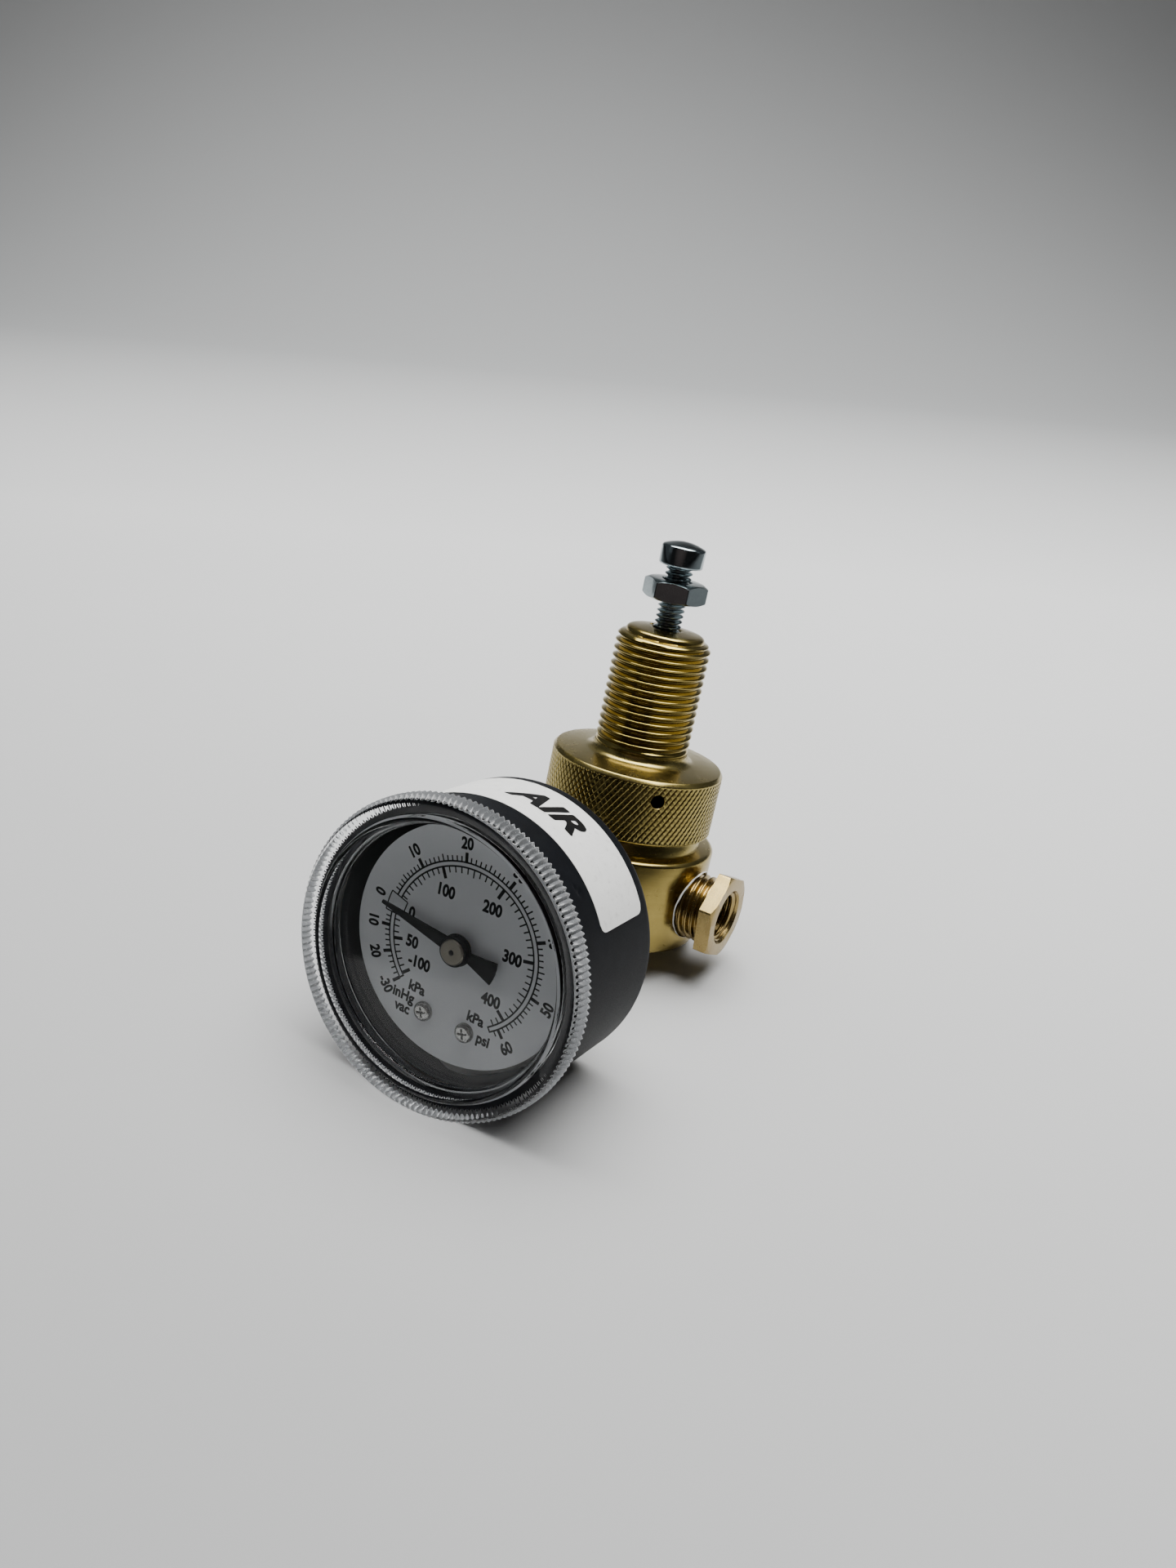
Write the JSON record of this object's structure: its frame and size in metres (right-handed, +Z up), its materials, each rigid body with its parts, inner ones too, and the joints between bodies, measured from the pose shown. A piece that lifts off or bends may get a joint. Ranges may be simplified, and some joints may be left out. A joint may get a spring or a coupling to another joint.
{
  "type": "air pressure regulator",
  "caption": "Miniature brass air pressure regulator with a bulkhead-threaded bonnet, adjusting screw and lock nut, a hexagon outlet bushing and a round dial gauge on a side port.",
  "frame": {"origin": "centre of the bonnet's panel thread at its root, on the regulator's axis", "axes": "+Z up the adjusting screw, the gauge faces -Y, the bushed outlet port faces +X"},
  "size_m": [0.057, 0.085, 0.0984],
  "materials": {
    "brass_body": "bright gold-toned turned brass, light lathe marks",
    "brass_bushing": "plain machined bar-stock brass, a little darker",
    "brass_movement": "stamped and machined clock brass",
    "brass_inner": "plain machined brass",
    "bronze": null,
    "zinc_steel": "bright zinc plate with a faint blue cast",
    "spring_steel": "drawn wire, satin",
    "stainless": "turned stainless steel",
    "movement_steel": "polished pivot steel",
    "plated_screw": "small nickel-plated screws",
    "black_case": "fine satin black enamel on drawn steel",
    "black_pointer": "matt black paint on thin aluminium",
    "dial_white": "satin white with black print",
    "nickel_hub": "turned nickel-plated brass hub, faced bright",
    "clear_lens": null,
    "gasket": "black sheet rubber",
    "diaphragm_rubber": "fabric-reinforced nitrile sheet",
    "seal_rubber": "moulded nitrile",
    "slip_ring": "thin fibre washer",
    "ptfe_tape": "white thread tape, crumpled edge",
    "label_white": "satin white adhesive label with black letters"
  },
  "bodies": {
    "regulator": {"body": "brass_body", "bonnet": "brass_body", "slip_ring": "slip_ring", "diaphragm": "diaphragm_rubber", "range_spring": "spring_steel", "valve_seat": "brass_inner", "valve_spring": "spring_steel", "bottom_plug": "brass_inner", "bottom_plug_o_ring": "seal_rubber", "port_bushing": "brass_bushing", "bushing_seal_tape": "ptfe_tape", "gauge_case": "black_case", "gauge_socket": "brass_bushing", "stem_seal_tape": "ptfe_tape", "case_screws": "plated_screw", "gauge_lens": "clear_lens", "lens_gasket": "gasket", "gauge_label": "label_white", "bourdon_tube": "bronze", "hairspring": "bronze", "movement_back_plate": "brass_movement", "movement_front_plate": "brass_movement", "movement_pillars": "brass_movement", "movement_screws": "plated_screw", "dial_posts": "brass_movement", "dial": "dial_white", "dial_screws": "plated_screw"},
    "spring_button": {"upper_spring_button": "stainless"},
    "adjusting_screw": {"adjusting_screw": "zinc_steel"},
    "lock_nut": {"lock_nut": "zinc_steel"},
    "diaphragm_stack": {"diaphragm_plate": "brass_inner", "diaphragm_washer": "brass_inner"},
    "poppet": {"valve_poppet": "stainless", "poppet_seal": "seal_rubber"},
    "pointer": {"pinion_arbor": "movement_steel", "pointer": "black_pointer", "pointer_hub": "nickel_hub"},
    "sector": {"sector_gear": "brass_movement", "sector_arbor": "movement_steel", "sector_link_pin": "movement_steel"},
    "link": {"link": "brass_movement", "tube_tip": "brass_movement", "tip_link_pin": "movement_steel"}
  },
  "joints": [
    {"name": "screw_travel", "type": "slide", "parent": "regulator", "child": "spring_button", "axis": [0, 0, 1], "range_m": [-0.0032, 0.0032], "deforming": ["range_spring"]},
    {"name": "screw_turn", "type": "hinge", "parent": "spring_button", "child": "adjusting_screw", "pos_m": [0, 0, 0.0364], "axis": [0, 0, 1], "range_deg": [-1080, 1080]},
    {"name": "nut_run", "type": "slide", "parent": "adjusting_screw", "child": "lock_nut", "axis": [0, 0, 1], "range_m": [-0.0023, 0.0027]},
    {"name": "diaphragm_travel", "type": "slide", "parent": "regulator", "child": "diaphragm_stack", "axis": [0, 0, 1], "range_m": [-0.0008, 0], "stiffness_N_per_m": 500, "springref_m": 0.002, "deforming": ["diaphragm", "valve_spring"]},
    {"name": "poppet_travel", "type": "slide", "parent": "regulator", "child": "poppet", "axis": [0, 0, 1], "range_m": [-0.0008, 0]},
    {"name": "sector_turn", "type": "hinge", "parent": "regulator", "child": "sector", "pos_m": [0.01104, -0.0526, -0.03427], "axis": [0, -1, 0], "range_deg": [-5.78, 24.33], "stiffness_Nm_per_rad": 0.008, "deforming": ["bourdon_tube", "hairspring"]},
    {"name": "pointer_turn", "type": "hinge", "parent": "regulator", "child": "pointer", "pos_m": [0, -0.0526, -0.0284], "axis": [0, -1, 0], "range_deg": [-219.2, 52.2]},
    {"name": "link_turn", "type": "hinge", "parent": "sector", "child": "link", "pos_m": [0.01308, -0.0526, -0.03828], "axis": [0, -1, 0], "range_deg": [-24.5, 5.9]}
  ],
  "couplings": [
    {"joint": "screw_travel", "follows": "screw_turn", "m_per_rad": 0.00016844},
    {"joint": "poppet_travel", "follows": "diaphragm_travel", "ratio": 1},
    {"joint": "pointer_turn", "follows": "sector_turn", "ratio": -9},
    {"joint": "link_turn", "follows": "sector_turn", "ratio": -1}
  ]
}
